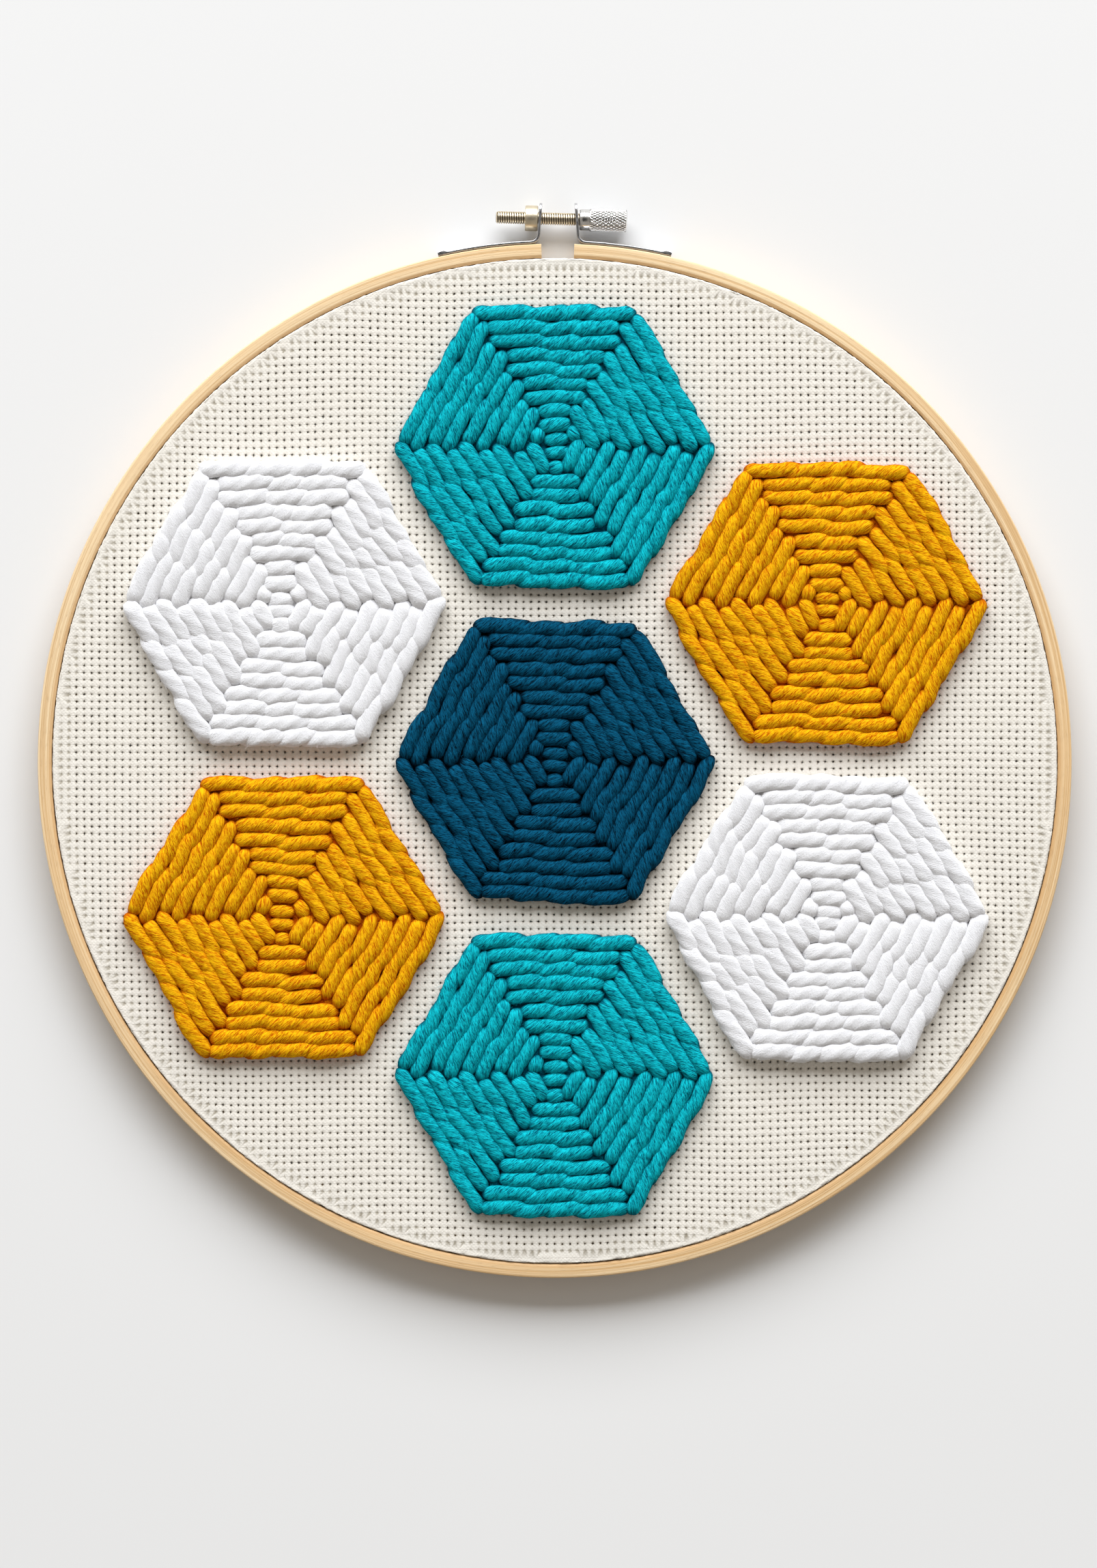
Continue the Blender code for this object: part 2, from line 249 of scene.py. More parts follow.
# Each metal's colour, roughness, scale of scratches, and how stained it is
METALS = {
    "steel": ((0.60, 0.60, 0.61), 0.30, (900, 900, 12000), 0.6),
    "brass": ((0.80, 0.70, 0.52), 0.36, (9000, 2500, 2500), 0.8),
    "nickel": ((0.80, 0.79, 0.77), 0.20, (9000, 2500, 2500), 0.5),
}

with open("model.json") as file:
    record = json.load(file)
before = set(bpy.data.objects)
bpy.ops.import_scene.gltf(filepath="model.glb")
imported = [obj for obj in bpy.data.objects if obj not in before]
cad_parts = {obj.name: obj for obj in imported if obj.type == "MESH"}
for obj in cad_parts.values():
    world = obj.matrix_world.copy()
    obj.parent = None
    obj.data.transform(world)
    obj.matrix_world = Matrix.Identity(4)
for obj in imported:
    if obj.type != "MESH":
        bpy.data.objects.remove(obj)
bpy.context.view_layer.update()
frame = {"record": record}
random = np.random.default_rng(11)

ring_low, ring_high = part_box("outer_ring")
OUTER_RADIUS = round((ring_high.x - ring_low.x) / 2, 3)
OUTER_DEPTH = ring_high.z - ring_low.z
HOOP = Vector(((ring_low.x + ring_high.x) / 2, ring_low.y + OUTER_RADIUS, 0))
canvas_low, canvas_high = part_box("ground_canvas")
CANVAS_FACE = canvas_high.z - CREST
CANVAS_EDGE = (canvas_high.x - canvas_low.x) / 2
FLAT_RADIUS = (
    CANVAS_EDGE - CANVAS_ROLL + CANVAS_ROLL * math.pi / 2 + CANVAS_FACE - CANVAS_ROLL - CANVAS_TRIM
)
HEXAGON_APOTHEM = ROWS * ROW_PITCH
HEXAGON_SPACING = 2 * HEXAGON_APOTHEM + CHANNEL


# Camera, floor and light

def add_camera():
    """Straight above the hoop, with the hoop where the photograph has it."""
    scale = OUTER_RADIUS / HOOP_PIXEL_RADIUS
    data = bpy.data.cameras.new("camera")
    data.sensor_width = SENSOR
    data.lens = SENSOR * CAMERA_DISTANCE / (IMAGE_HEIGHT * scale)
    data.clip_start = 0.05
    camera = bpy.data.objects.new("camera", data)
    camera.location = (
        HOOP.x - (HOOP_PIXEL_X - IMAGE_WIDTH / 2) * scale,
        HOOP.y - (IMAGE_HEIGHT / 2 - HOOP_PIXEL_Y) * scale,
        OUTER_DEPTH + CAMERA_DISTANCE,
    )
    bpy.context.scene.collection.objects.link(camera)
    bpy.context.scene.camera = camera


def add_window():
    """A wide soft light that faces the hoop from the screw's side, leaning off straight up."""
    data = bpy.data.lights.new("window", "AREA")
    data.shape = "RECTANGLE"
    data.size = WINDOW_WIDTH
    data.size_y = WINDOW_HEIGHT
    data.energy = WINDOW_POWER
    data.color = WINDOW_COLOUR
    light = bpy.data.objects.new("window", data)
    lean = math.radians(WINDOW_LEAN)
    direction = Vector((0, math.sin(lean), math.cos(lean)))
    light.location = HOOP + direction * WINDOW_DISTANCE
    light.rotation_euler = direction.to_track_quat("Z", "Y").to_euler()
    bpy.context.scene.collection.objects.link(light)


def add_room():
    """An even room that is dark round the camera, a wide window above the hoop, and a pale floor."""
    world = bpy.data.worlds.new("room")
    world.use_nodes = True
    tree = world.node_tree
    upward = component(tree, add_node(tree, "ShaderNodeTexCoord").outputs["Generated"], 2)
    strength = spread(tree, upward, SHADE_START, SHADE_FULL, SKY, SHADE)
    set_inputs(tree, tree.nodes["Background"], {"Color": SKY_COLOUR, "Strength": strength})
    bpy.context.scene.world = world
    add_window()
    bpy.context.scene.view_settings.view_transform = "Standard"
    mesh = bpy.data.meshes.new("floor")
    corners = [(FLOOR_HALF * x, FLOOR_HALF * y, 0) for x, y in ((-1, -1), (1, -1), (1, 1), (-1, 1))]
    mesh.from_pydata(corners, [], [(0, 1, 2, 3)])
    floor = bpy.data.objects.new("floor", mesh)
    bpy.context.scene.collection.objects.link(floor)
    material, tree, shader = new_material("floor")
    set_inputs(tree, shader, {"Base Color": FLOOR_COLOUR, "Roughness": 0.9, "Specular IOR Level": 0.0})
    mesh.materials.append(material)


# Node helpers

def new_material(name):
    material = bpy.data.materials.new(name)
    material.use_nodes = True
    tree = material.node_tree
    return material, tree, tree.nodes["Principled BSDF"]


def set_inputs(tree, node, values):
    """Each value is a number, three parts of a colour or more, or another node's output to link."""
    for key, value in values.items():
        if isinstance(value, bpy.types.NodeSocket):
            tree.links.new(value, node.inputs[key])
        elif node.inputs[key].type == "RGBA" and len(value) == 3:
            node.inputs[key].default_value = (*value, 1)
        else:
            node.inputs[key].default_value = value


def add_node(tree, kind, inputs=None, **settings):
    node = tree.nodes.new(kind)
    for key, value in settings.items():
        setattr(node, key, value)
    set_inputs(tree, node, inputs or {})
    return node


def calculate(tree, operation, first, second=0.0):
    return add_node(tree, "ShaderNodeMath", {0: first, 1: second}, operation=operation).outputs[0]


def multiply(tree, first, second):
    return calculate(tree, "MULTIPLY", first, second)


def component(tree, vector, index):
    return add_node(tree, "ShaderNodeSeparateXYZ", {0: vector}).outputs[index]


def noise(tree, vector, scale, detail=2.0, roughness=0.55):
    """Noise on a stretched vector, from 0 to 1."""
    stretched = add_node(tree, "ShaderNodeMapping", {"Vector": vector, "Scale": scale}).outputs[0]
    inputs = {"Vector": stretched, "Scale": 1.0, "Detail": detail, "Roughness": roughness}
    return add_node(tree, "ShaderNodeTexNoise", inputs).outputs["Fac"]


def spread(tree, value, low, high, to_low=0.0, to_high=1.0):
    """Stretches a value from low..high to another range, and stops at its ends."""
    inputs = {"Value": value, "From Min": low, "From Max": high, "To Min": to_low, "To Max": to_high}
    return add_node(tree, "ShaderNodeMapRange", inputs).outputs["Result"]


def blend_colours(tree, factor, first, second):
    """From the first colour at 0 to the second one at 1."""
    colours = {0: factor, 6: first, 7: second}
    return add_node(tree, "ShaderNodeMix", colours, data_type="RGBA").outputs[2]


def bump(tree, height, distance, strength):
    inputs = {"Height": height, "Distance": distance, "Strength": strength}
    return add_node(tree, "ShaderNodeBump", inputs).outputs["Normal"]


def attribute(tree, name):
    return add_node(tree, "ShaderNodeAttribute", attribute_name=name).outputs["Vector"]


# Materials

def yarn_material(name, crease_shade_and_dark_fibres, light, relief, felted):
    """Soft fibres that run round the strand with its twist, with painted shade low in its creases. Felted
    ones are shorter, and matt like wool.
    """
    material, tree, shader = new_material(name)
    fibre = attribute(tree, "fibre")
    fine = noise(tree, fibre, (3300, 3300, 850 + 1500 * felted), 3.0, 0.6)
    clump = noise(tree, fibre, (1000, 1000, 260 + 400 * felted), 2.0)
    broad = noise(tree, fibre, (260, 260, 60), 1.0)
    mixed = calculate(tree, "ADD", multiply(tree, fine, 0.7), multiply(tree, clump, 0.3))
    # Painted shade: low down in the creases the yarn takes its dark colour
    clear_of_crease_shade = spread(tree, component(tree, attribute(tree, "crease_with_painted_shade"), 0), 0.0, 1.0, 1.0, 0.0)
    lit = multiply(tree, spread(tree, mixed, 0.39, 0.565), clear_of_crease_shade)
    middle = tuple((a + b) / 2 for a, b in zip(crease_shade_and_dark_fibres, light))
    colour = blend_colours(tree, lit, crease_shade_and_dark_fibres, light)
    colour = blend_colours(tree, spread(tree, broad, 0.35, 0.7, 0.0, 0.15), colour, middle)
    set_inputs(tree, shader, {
        "Base Color": colour, "Normal": bump(tree, mixed, 0.55 * MM, relief),
        "Roughness": 0.92, "Specular IOR Level": 0.04, "Diffuse Roughness": felted,
        "Sheen Weight": 0.08 + 0.9 * felted, "Sheen Roughness": 0.45 + 0.25 * felted,
        "Sheen Tint": [min(1.0, value * 1.2 + 0.01) for value in light],
    })
    return material


def canvas_material():
    """Off-white cotton: blocks of threads between the holes, a faint crease along each row of holes, and
    painted shade in the creases and round the holes.
    """
    material, tree, shader = new_material("canvas")
    weave = attribute(tree, "weave")
    ridges = []
    creases_with_painted_shade = []
    for axis in (0, 1):
        place = component(tree, weave, axis)
        ridges.append(calculate(tree, "SINE", multiply(tree, place, 2 * math.tau)))
        wrapped = calculate(tree, "WRAP", place, 0.5)
        wrapped.node.inputs[2].default_value = -0.5
        creases_with_painted_shade.append(spread(tree, calculate(tree, "ABSOLUTE", wrapped), 0.0, 0.12, 1.0, 0.0))
    threads = multiply(tree, *ridges)
    crease_with_painted_shade = calculate(tree, "MAXIMUM", multiply(tree, creases_with_painted_shade[0], 0.4), creases_with_painted_shade[1])
    lint = noise(tree, weave, (5.0, 5.0, 1.0), 3.0)
    blotch = noise(tree, weave, (0.35, 0.35, 1.0), 2.0)
    # Painted shade round the holes, where the canvas dips
    rim_shade = spread(tree, component(tree, weave, 2), -0.22, -0.04, 0.95, 0.0)
    colour = blend_colours(tree, spread(tree, lint, 0.3, 0.7), CANVAS_SHADE, CANVAS_LIGHT)
    colour = blend_colours(tree, spread(tree, blotch, 0.35, 0.7, 0.0, 0.25), colour, CANVAS_BLOTCH)
    # Painted shade along the creases
    colour = blend_colours(tree, multiply(tree, crease_with_painted_shade, 0.12), colour, CANVAS_CREASE_SHADE)
    colour = blend_colours(tree, rim_shade, colour, CANVAS_RIM_SHADE)
    height = calculate(tree, "ADD", multiply(tree, threads, 0.15), multiply(tree, lint, 0.8))
    height = calculate(tree, "SUBTRACT", height, multiply(tree, crease_with_painted_shade, 0.3))
    set_inputs(tree, shader, {
        "Base Color": colour, "Normal": bump(tree, height, 0.14 * MM, 0.7),
        "Roughness": 0.95, "Specular IOR Level": 0.05, "Sheen Weight": 0.05,
    })
    return material


def wood_material():
    """Pale wood whose grain runs along the ring. Its inner edge and the foot of its outer side are darker
    with painted shade.
    """
    material, tree, shader = new_material("wood")
    grain = attribute(tree, "grain")
    inward, level = component(tree, grain, 1), component(tree, grain, 2)
    lines = noise(tree, grain, (9, 2100, 2100), 3.0, 0.6)
    bands = noise(tree, grain, (5, 640, 640), 2.0)
    patches = noise(tree, grain, (12, 90, 90), 2.0)
    pores = noise(tree, grain, (300, 5200, 5200), 2.0)
    value = calculate(tree, "ADD", multiply(tree, lines, 0.55), multiply(tree, bands, 0.45))
    ragged = calculate(tree, "ADD", inward, spread(tree, bands, 0.3, 0.7, -0.3 * MM, 0.3 * MM))
    # Painted shade along the inner edge
    edge = spread(tree, ragged, 0.75 * MM - RING_WALL, 1.15 * MM - RING_WALL, 0.6, 0.0)
    # Painted shade on the outer side, darker towards the floor
    low = spread(tree, level, 1.0 * MM, 8.5 * MM, 0.75, 0.0)
    foot_shade = multiply(tree, low, spread(tree, inward, -0.5 * MM, -0.2 * MM))
    dots = spread(tree, pores, 0.60, 0.70, 0.0, 0.3)
    colour = blend_colours(tree, spread(tree, value, 0.40, 0.58), WOOD_DARK, WOOD_LIGHT)
    colour = blend_colours(tree, spread(tree, patches, 0.42, 0.68, 0.0, 0.4), colour, WOOD_PATCH)
    for share, darker in ((edge, WOOD_EDGE_SHADE), (foot_shade, WOOD_FOOT_SHADE), (dots, WOOD_PORE)):
        colour = blend_colours(tree, share, colour, darker)
    height = calculate(tree, "SUBTRACT", value, multiply(tree, dots, 0.5))
    set_inputs(tree, shader, {
        "Base Color": colour, "Normal": bump(tree, height, 0.25 * MM, 0.7),
        "Roughness": spread(tree, lines, 0.3, 0.7, 0.62, 0.46), "Specular IOR Level": 0.35,
    })
    return material


def metal_material(name, colour, roughness, scratch_scale, dirt):
    """Plated or bare metal with fine wear and stains, and painted shade in its grooves."""
    material, tree, shader = new_material(name)
    place = add_node(tree, "ShaderNodeTexCoord").outputs["Object"]
    scratches = noise(tree, place, scratch_scale, 3.0, 0.6)
    stains = noise(tree, place, (380, 380, 380), 3.0)
    painted_groove_shade = component(tree, attribute(tree, "painted_groove_shade"), 0)
    worn = tuple(value * 0.72 for value in colour)
    mixed = blend_colours(tree, spread(tree, stains, 0.40, 0.72, 0.0, dirt), colour, worn)
    # Painted shade in the grooves of the thread and the knurl
    mixed = blend_colours(tree, spread(tree, painted_groove_shade, 0.12, 0.85, 0.0, 0.85), mixed, GROOVE_SHADE)
    set_inputs(tree, shader, {
        "Base Color": mixed, "Normal": bump(tree, scratches, 0.03 * MM, 0.5), "Metallic": 1.0,
        "Roughness": spread(tree, scratches, 0.3, 0.7, roughness * 0.8, roughness * 1.35),
    })
    return material


def make_materials():
    made = {name: yarn_material(name, *look) for name, look in YARNS.items()}
    made["canvas"] = canvas_material()
    made["wood"] = wood_material()
    for name, look in METALS.items():
        made[name] = metal_material(name, *look)
    return made


# Mesh helpers

def unit(vectors):
    return vectors / np.maximum(np.linalg.norm(vectors, axis=-1, keepdims=True), 1e-12)


def add_piece(name, points, face_sets, slot, node=None, vectors=None):
    """A named piece from points and arrays of faces, with vectors stored on its points."""
    mesh = bpy.data.meshes.new(name)
    sizes = np.concatenate([np.full(len(faces), faces.shape[1]) for faces in face_sets])
    corners = np.concatenate([faces.ravel() for faces in face_sets])
    mesh.vertices.add(len(points))
    mesh.vertices.foreach_set("co", np.asarray(points, np.float32).ravel())
    mesh.loops.add(len(corners))
    mesh.loops.foreach_set("vertex_index", corners.astype(np.int32))
    mesh.polygons.add(len(sizes))
    starts = np.concatenate([[0], np.cumsum(sizes)[:-1]])
    mesh.polygons.foreach_set("loop_start", starts.astype(np.int32))
    mesh.update(calc_edges=True)
    mesh.validate()
    mesh.shade_smooth()
    for key, values in (vectors or {}).items():
        stored = mesh.attributes.new(key, "FLOAT_VECTOR", "POINT")
        stored.data.foreach_set("vector", np.asarray(values, np.float32).ravel())
    mesh.materials.append(materials[slot])
    piece = bpy.data.objects.new(name, mesh)
    bpy.context.scene.collection.objects.link(piece)
    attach(piece, "root")
    if node:
        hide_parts(node)
    return piece


def grid_faces(rows, columns, wrap_rows=False, wrap_columns=False):
    """Quads between the points of a grid that is stored row by row."""
    first = np.arange(rows if wrap_rows else rows - 1)
    across = np.arange(columns if wrap_columns else columns - 1)
    row, column = np.meshgrid(first, across, indexing="ij")
    row, column = row.ravel(), column.ravel()
    next_row, next_column = (row + 1) % rows, (column + 1) % columns
    return np.stack(
        [
            row * columns + column,
            row * columns + next_column,
            next_row * columns + next_column,
            next_row * columns + column,
        ],
        axis=1,
    )


def tube_faces(tubes, rings, sides):
    """Quads round each tube, and triangles to the point at each of its ends."""
    size = rings * sides + 2
    blocks = np.arange(tubes) * size
    quads = grid_faces(rings, sides, False, True)
    side = np.arange(sides)
    after = (side + 1) % sides
    start = np.stack([np.full(sides, size - 2), after, side], axis=1)
    last = (rings - 1) * sides
    end = np.stack([np.full(sides, size - 1), last + side, last + after], axis=1)
    ends = np.concatenate([start, end])
    return [(part[None] + blocks[:, None, None]).reshape(-1, part.shape[1]) for part in (quads, ends)]


def tube_points(path, left, up, wide, tall):
    """Rings of points round the inner points of each path, and then the path's own two ends."""
    shell = (
        path[:, 1:-1, None, :]
        + left[:, :, None, :] * wide[..., None]
        + up[:, 1:-1, None, :] * tall[..., None]
    )
    return np.concatenate([shell.reshape(len(path), -1, 3), path[:, [0, -1]]], axis=1)


def round_angles(count):
    return math.tau * np.arange(count) / count


def first_part(values, count):
    """Values as the first part of a vector for each of count points. Points past the values have 0."""
    stored = np.zeros((count, 3))
    stored[: values.size, 0] = values.ravel()
    return stored


def ripple(shortest, longest, count=7):
    """A gentle random field over the plane, made of a few waves, mostly within -1 and 1."""
    angle = random.uniform(0, math.tau, count)
    wave = math.tau / random.uniform(shortest, longest, count)
    phase = random.uniform(0, math.tau, count)

    def field(x, y):
        total = 0.0
        for turn, pace, start in zip(angle, wave, phase):
            total = total + np.cos(pace * (x * math.cos(turn) + y * math.sin(turn)) + start)
        return total / math.sqrt(count)

    return field


# Wood

def wood_section(inner, outer, depth):
    """A rectangle with worn corners, as radius and height. The inner top corner is worn the widest."""
    corners = (
        {"edge": outer, "wide": -WOOD_ROUNDING, "level": 0, "tall": WOOD_ROUNDING, "first": -90},
        {"edge": outer, "wide": -OUTER_ROUNDING, "level": depth, "tall": -OUTER_ROUNDING, "first": 0},
        {"edge": inner, "wide": INNER_ROUNDING, "level": depth, "tall": -OUTER_ROUNDING, "first": 90},
        {"edge": inner, "wide": WOOD_ROUNDING, "level": 0, "tall": WOOD_ROUNDING, "first": 180},
    )
    section = []
    for corner in corners:
        for step in range(CORNER_STEPS + 1):
            angle = math.radians(corner["first"] + 90 * step / CORNER_STEPS)
            across = corner["edge"] + corner["wide"] + abs(corner["wide"]) * math.cos(angle)
            level = corner["level"] + corner["tall"] + abs(corner["tall"]) * math.sin(angle)
            section.append((across, level))
    return np.array(section)


def wooden_ring(name, node, outer, depth, start=0.0, sweep=math.tau):
    """A ring that is bent from a strip: its section wanders a little as it goes round."""
    section = wood_section(outer - RING_WALL, outer, depth)
    full = sweep == math.tau
    count = RING_STEPS + (0 if full else 1)
    angle = start + sweep * np.arange(count) / RING_STEPS
    wander = ripple(60 * MM, 240 * MM)(outer * np.cos(angle), outer * np.sin(angle)) * WANDER
    dent = ripple(9 * MM, 40 * MM)(outer * np.cos(angle), outer * np.sin(angle)) * DENT
    radius = section[None, :, 0] + wander[:, None]
    top = np.clip(section[None, :, 1] / depth, 0, 1)
    height = section[None, :, 1] + dent[:, None] * top
    points = np.stack(
        [
            HOOP.x + radius * np.cos(angle)[:, None],
            HOOP.y + radius * np.sin(angle)[:, None],
            np.broadcast_to(height, radius.shape),
        ],
        axis=-1,
    ).reshape(-1, 3)
    along = np.broadcast_to((angle * outer)[:, None], radius.shape)
    grain = np.stack([along, radius - outer, height], axis=-1).reshape(-1, 3)
    columns = len(section)
    faces = [grid_faces(count, columns, full, True)[:, ::-1]]
    if not full:
        ends = np.stack([np.arange(columns), (count - 1) * columns + np.arange(columns)[::-1]])
        faces.append(ends)
    piece = add_piece(name, points, faces, "wood", node, {"grain": grain})
    piece.data.set_sharp_from_angle(angle=math.radians(60))
    return piece


def wooden_rings():
    inner_low, inner_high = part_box("inner_ring")
    middle = OUTER_RADIUS - RING_WALL / 2
    left = math.pi / 2 + math.asin(SPLIT_LEFT / middle)
    right = math.pi / 2 - math.asin(SPLIT_RIGHT / middle)
    wooden_ring("wood_outer", "outer_ring", OUTER_RADIUS, OUTER_DEPTH, left, math.tau - (left - right))
    wooden_ring("wood_inner", "inner_ring", (inner_high.x - inner_low.x) / 2, inner_high.z)


# Canvas

def under_yarn(x, y, margin):
    """Which points lie under a hexagon, further inside its rim than margin."""
    covered = np.zeros(np.shape(x), bool)
    for centre_x, centre_y in hexagon_centres():
        far = np.zeros(np.shape(x))
        for angle in side_angles():
            far = np.maximum(far, (x - centre_x) * math.cos(angle) + (y - centre_y) * math.sin(angle))
        covered |= far < HEXAGON_APOTHEM - margin
    return covered


def flat_place(u, v):
    """Where a point of the weave lies on the stretched sheet before it is laid over the ring."""
    x, y = u * CELL_X, v * CELL_Y
    return x + canvas_warp[0](x, y) * CANVAS_WARP_X, y + canvas_warp[1](x, y) * CANVAS_WARP_Y


def place_canvas(x, y, height):
    """Lays flat points of the sheet over the inner ring and down its side."""
    flat = np.minimum(np.hypot(x, y), FLAT_RADIUS)
    angle = np.arctan2(y, x)
    start = CANVAS_EDGE - CANVAS_ROLL
    turn = np.clip((flat - start) / CANVAS_ROLL, 0, math.pi / 2)
    drop = np.maximum(flat - start - CANVAS_ROLL * math.pi / 2, 0)
    radius = np.minimum(flat, start) + (CANVAS_ROLL + height) * np.sin(turn)
    level = CANVAS_FACE - CANVAS_ROLL + (CANVAS_ROLL + height) * np.cos(turn) - drop
    return np.stack([HOOP.x + radius * np.cos(angle), HOOP.y + radius * np.sin(angle), level], axis=-1)


def outer_loop(face_sets, points):
    """The net's outer points, unordered. An edge between them has a face on one side only."""
    edges = [np.stack([part, np.roll(part, -1, axis=1)], axis=-1).reshape(-1, 2) for part in face_sets]
    edges = np.concatenate(edges)
    edges = edges[(edges < points).all(axis=1)]
    forward = edges[:, 0] * points + edges[:, 1]
    backward = edges[:, 1] * points + edges[:, 0]
    return np.unique(edges[~np.isin(forward, backward)])


def canvas_holes(cell_x, cell_y, scale):
    """Eight rim points for each hole: four short arms, with the sides drawn in between them."""
    count = len(cell_x)
    shape = (count, HOLE_POINTS)
    point = np.arange(HOLE_POINTS)
    turn = round_angles(HOLE_POINTS)[None, :] + random.normal(0, 0.09, shape)
    size = np.where(point % 2 == 0, HOLE_ARM, HOLE_SIDE)[None, :] * scale[:, None]
    size = size * random.normal(1.0, 0.08, (count, 1)) * random.normal(1.0, 0.2, shape)
    size = np.clip(size, 0.3 * HOLE_SIDE, 1.5 * HOLE_ARM)
    centre_u = cell_x + random.normal(0, 0.02, count)
    centre_v = cell_y + random.normal(0, 0.02, count)
    rim_u = centre_u[:, None] + size * np.cos(turn) / CELL_X
    rim_v = centre_v[:, None] + size * np.sin(turn) / CELL_Y
    return rim_u.ravel(), rim_v.ravel()


def canvas_cells():
    """The cells inside the net's edge: each one's column and row, its place on the sheet and its radius."""
    columns = np.arange(-NET_REACH, NET_REACH + 1)
    cell_x, cell_y = (part.ravel() for part in np.meshgrid(columns, columns, indexing="ij"))
    x, y = flat_place(cell_x, cell_y)
    far = np.hypot(x, y)
    kept = far < NET_RADIUS - 0.2 * CELL_Y
    return [part[kept] for part in (cell_x, cell_y, x, y, far)]


def shared_points(cell_x, cell_y):
    """The eight points round every cell, stored once where cells share them, and each cell's numbers."""
    around = np.array([(1, 0), (1, 1), (0, 1), (-1, 1), (-1, 0), (-1, -1), (0, -1), (1, -1)])
    middle = 2 * NET_REACH + 4
    width = 2 * middle + 1
    key = (2 * cell_x[:, None] + around[:, 0] + middle) * width + 2 * cell_y[:, None] + around[:, 1] + middle
    used, index = np.unique(key, return_inverse=True)
    return (used // width - middle) / 2, (used % width - middle) / 2, index.reshape(key.shape)


def canvas_net():
    """A net of square cells. Each bare cell has an open hole, and a cell under the yarn is plain."""
    cell_x, cell_y, x, y, far = canvas_cells()
    holed = (far < DIMPLED_RADIUS) & ~under_yarn(x, y, UNDER_YARN)
    closed = far[holed] > OPEN_RADIUS
    scale = np.interp(far[holed], [OPEN_RADIUS - 1.5 * MM, DIMPLED_RADIUS], [1.0, 0.85])
    net_u, net_v, index = shared_points(cell_x, cell_y)
    net = len(net_u)
    corner = (np.abs(net_u % 1 - 0.5) < 0.1) & (np.abs(net_v % 1 - 0.5) < 0.1)
    net_height = np.where(corner, CREST, BRIDGE) + random.normal(0, CANVAS_ROUGHNESS, net)
    rim_u, rim_v = canvas_holes(cell_x[holed], cell_y[holed], scale)
    deep = np.repeat(np.where(closed, 1.2, 1.0), HOLE_POINTS)
    rim_height = HOLE_RIM * deep + random.normal(0, CANVAS_ROUGHNESS, len(rim_u))
    outer = index[holed]
    inner = net + np.arange(len(rim_u)).reshape(-1, HOLE_POINTS)
    quads = np.stack([outer, np.roll(outer, -1, axis=1), np.roll(inner, -1, axis=1), inner], axis=-1)
    faces = [quads.reshape(-1, 4), np.concatenate([index[~holed], inner[closed]])]
    u, v = np.concatenate([net_u, rim_u]), np.concatenate([net_v, rim_v])
    return u, v, np.concatenate([net_height, rim_height]), faces, outer_loop(faces, net)


def canvas_sheet():
    """The net, with a hem of rows that carries its edge over the ring and down its side."""
    u, v, height, (quads, octagons), loop = canvas_net()
    x, y = flat_place(u, v)
    flat_far, angle = np.hypot(x, y), np.arctan2(y, x)
    far = np.minimum(flat_far, NET_RADIUS - 0.3 * MM)
    loop = loop[np.argsort(angle[loop])]
    far[loop] = NET_RADIUS
    height = height * np.clip((NET_RADIUS - far) / EASE_WIDTH, 0, 1)
    moved = 1 + (far - flat_far) / flat_far.clip(1e-9)
    start = CANVAS_EDGE - CANVAS_ROLL
    bend = [start + CANVAS_ROLL * math.pi / 8 * step for step in range(5)]
    rows = np.array(bend + [bend[-1] + 2.5 * MM, (bend[-1] + FLAT_RADIUS) / 2, FLAT_RADIUS])
    hem_far, hem_angle = np.meshgrid(rows, angle[loop], indexing="ij")
    hem_height = random.normal(0, FRAY, hem_far.shape)
    count = len(far)
    hem_index = np.concatenate([loop, count + np.arange(hem_far.size)])
    hem_faces = hem_index[grid_faces(len(rows) + 1, len(loop), False, True)[:, ::-1]]
    far = np.concatenate([far, hem_far.ravel()])
    angle = np.concatenate([angle, hem_angle.ravel()])
    height = np.concatenate([height, hem_height.ravel()])
    x, y = far * np.cos(angle), far * np.sin(angle)
    weave = np.stack([x / CELL_X, y / CELL_Y, height / MM], axis=-1)
    weave[:count, :2] = np.stack([u * moved, v * moved], axis=-1)
    faces = [np.concatenate([quads, hem_faces]), octagons]
    points = place_canvas(x, y, height)
    piece = add_piece("canvas", points, faces, "canvas", "ground_canvas", {"weave": weave})


# Yarn

def side_angles():
    """The directions from a hexagon's middle to its sides."""
    return [math.radians(30 + 60 * side) for side in range(HEXAGON_SIDES)]


def hexagon_centres():
    """The middle hexagon, and the six around it, clockwise from the top."""
    centres = [(0.0, 0.0)]
    for place in range(HEXAGON_SIDES):
        angle = math.pi / 2 - math.tau * place / HEXAGON_SIDES
        centres.append((HEXAGON_SPACING * math.cos(angle), HEXAGON_SPACING * math.sin(angle)))
    return centres


def new_stitch(angle, out, start, end, **changes):
    """One stitch of a row that lies out from the middle, facing angle, from start to end along the row."""
    made = {
        "angle": angle, "out": out, "start": start, "end": end,
        "start_shift": 0.0, "end_shift": 0.0,
        "start_dive": DIVE, "end_dive": DIVE,
        "start_taper": TAPER, "end_taper": TAPER,
        "radius": STRAND_RADIUS * random.normal(1.0, 0.03), "top": STRAND_TOP,
    }
    made.update(changes)
    return made


def tip(key, over):
    """A row's end at a mitre: a round tip that lies over the next side's row, or stops short of it."""
    shape = TIP_OVER if over else TIP_SHORT
    return random.uniform(*shape["reach"]), {key + "_dive": shape["dive"], key + "_taper": shape["taper"]}


